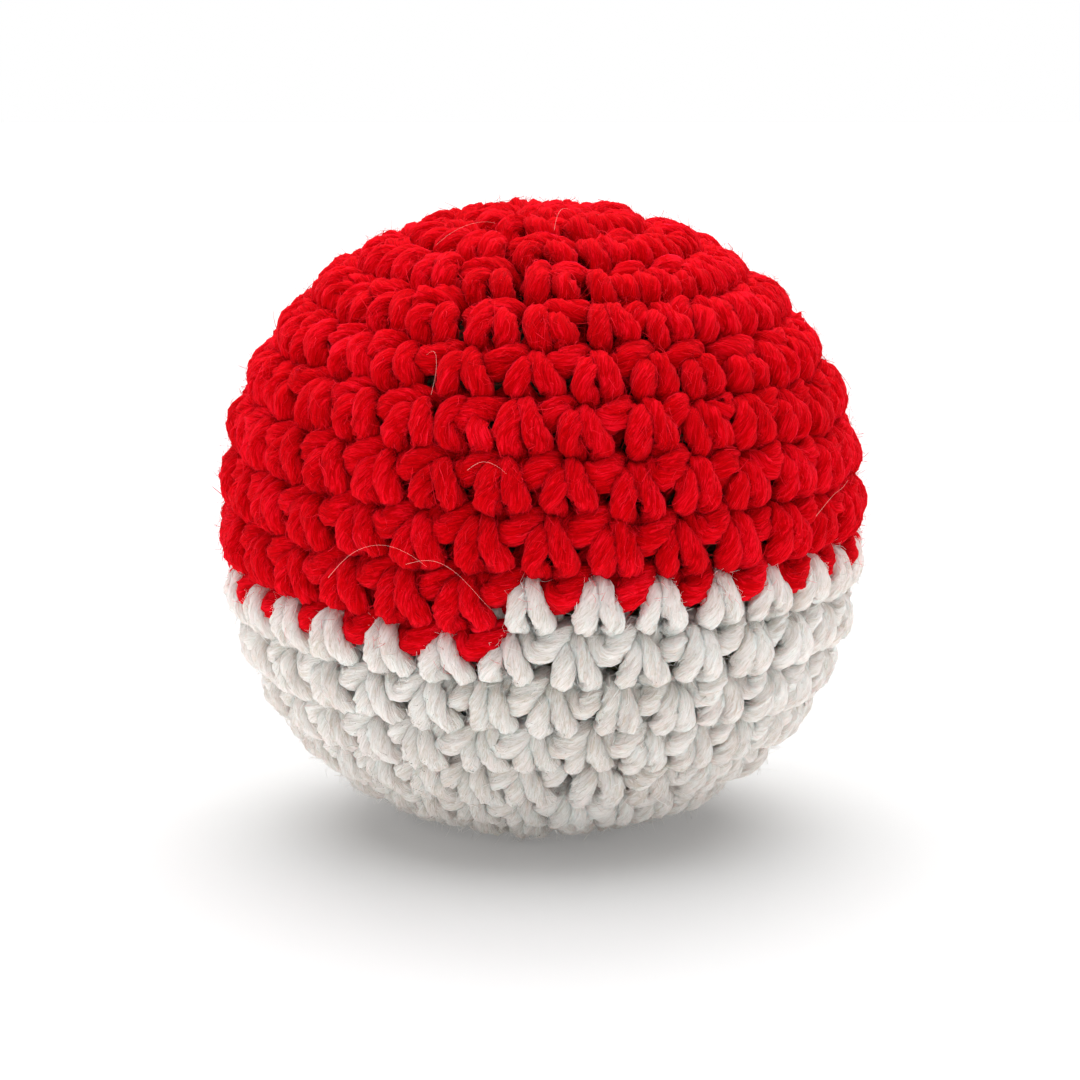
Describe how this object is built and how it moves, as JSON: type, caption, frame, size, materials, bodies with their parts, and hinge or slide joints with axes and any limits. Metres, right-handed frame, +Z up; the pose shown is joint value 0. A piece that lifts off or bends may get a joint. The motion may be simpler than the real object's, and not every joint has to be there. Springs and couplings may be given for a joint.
{
  "type": "juggling ball",
  "caption": "Crocheted juggling ball in two colours of yarn, red above and off-white below, filled with plastic pellets in a tied liner bag.",
  "frame": {"origin": "centre of the flat patch under the white pole, which the ball rests on", "axes": "+Z up through the red pole; the colour change of the spiral faces -Y, a little towards -X"},
  "size_m": [0.065, 0.065, 0.0622],
  "materials": {
    "red_yarn": "soft brushed acrylic yarn, single crochet",
    "white_yarn": "soft brushed acrylic yarn, single crochet",
    "liner_cloth": "fine knitted nylon stocking",
    "sewing_thread": "spun polyester thread",
    "pellet_plastic": "moulded, slightly waxy"
  },
  "bodies": {
    "root": {"red_cover": "red_yarn", "white_cover": "white_yarn", "red_start_tail": "red_yarn", "red_end_tail": "red_yarn", "white_start_tail": "white_yarn", "white_closing_tail": "white_yarn", "colour_knot": "red_yarn", "liner_bag": "liner_cloth", "neck_thread": "sewing_thread", "pellets": "pellet_plastic"}
  },
  "joints": []
}
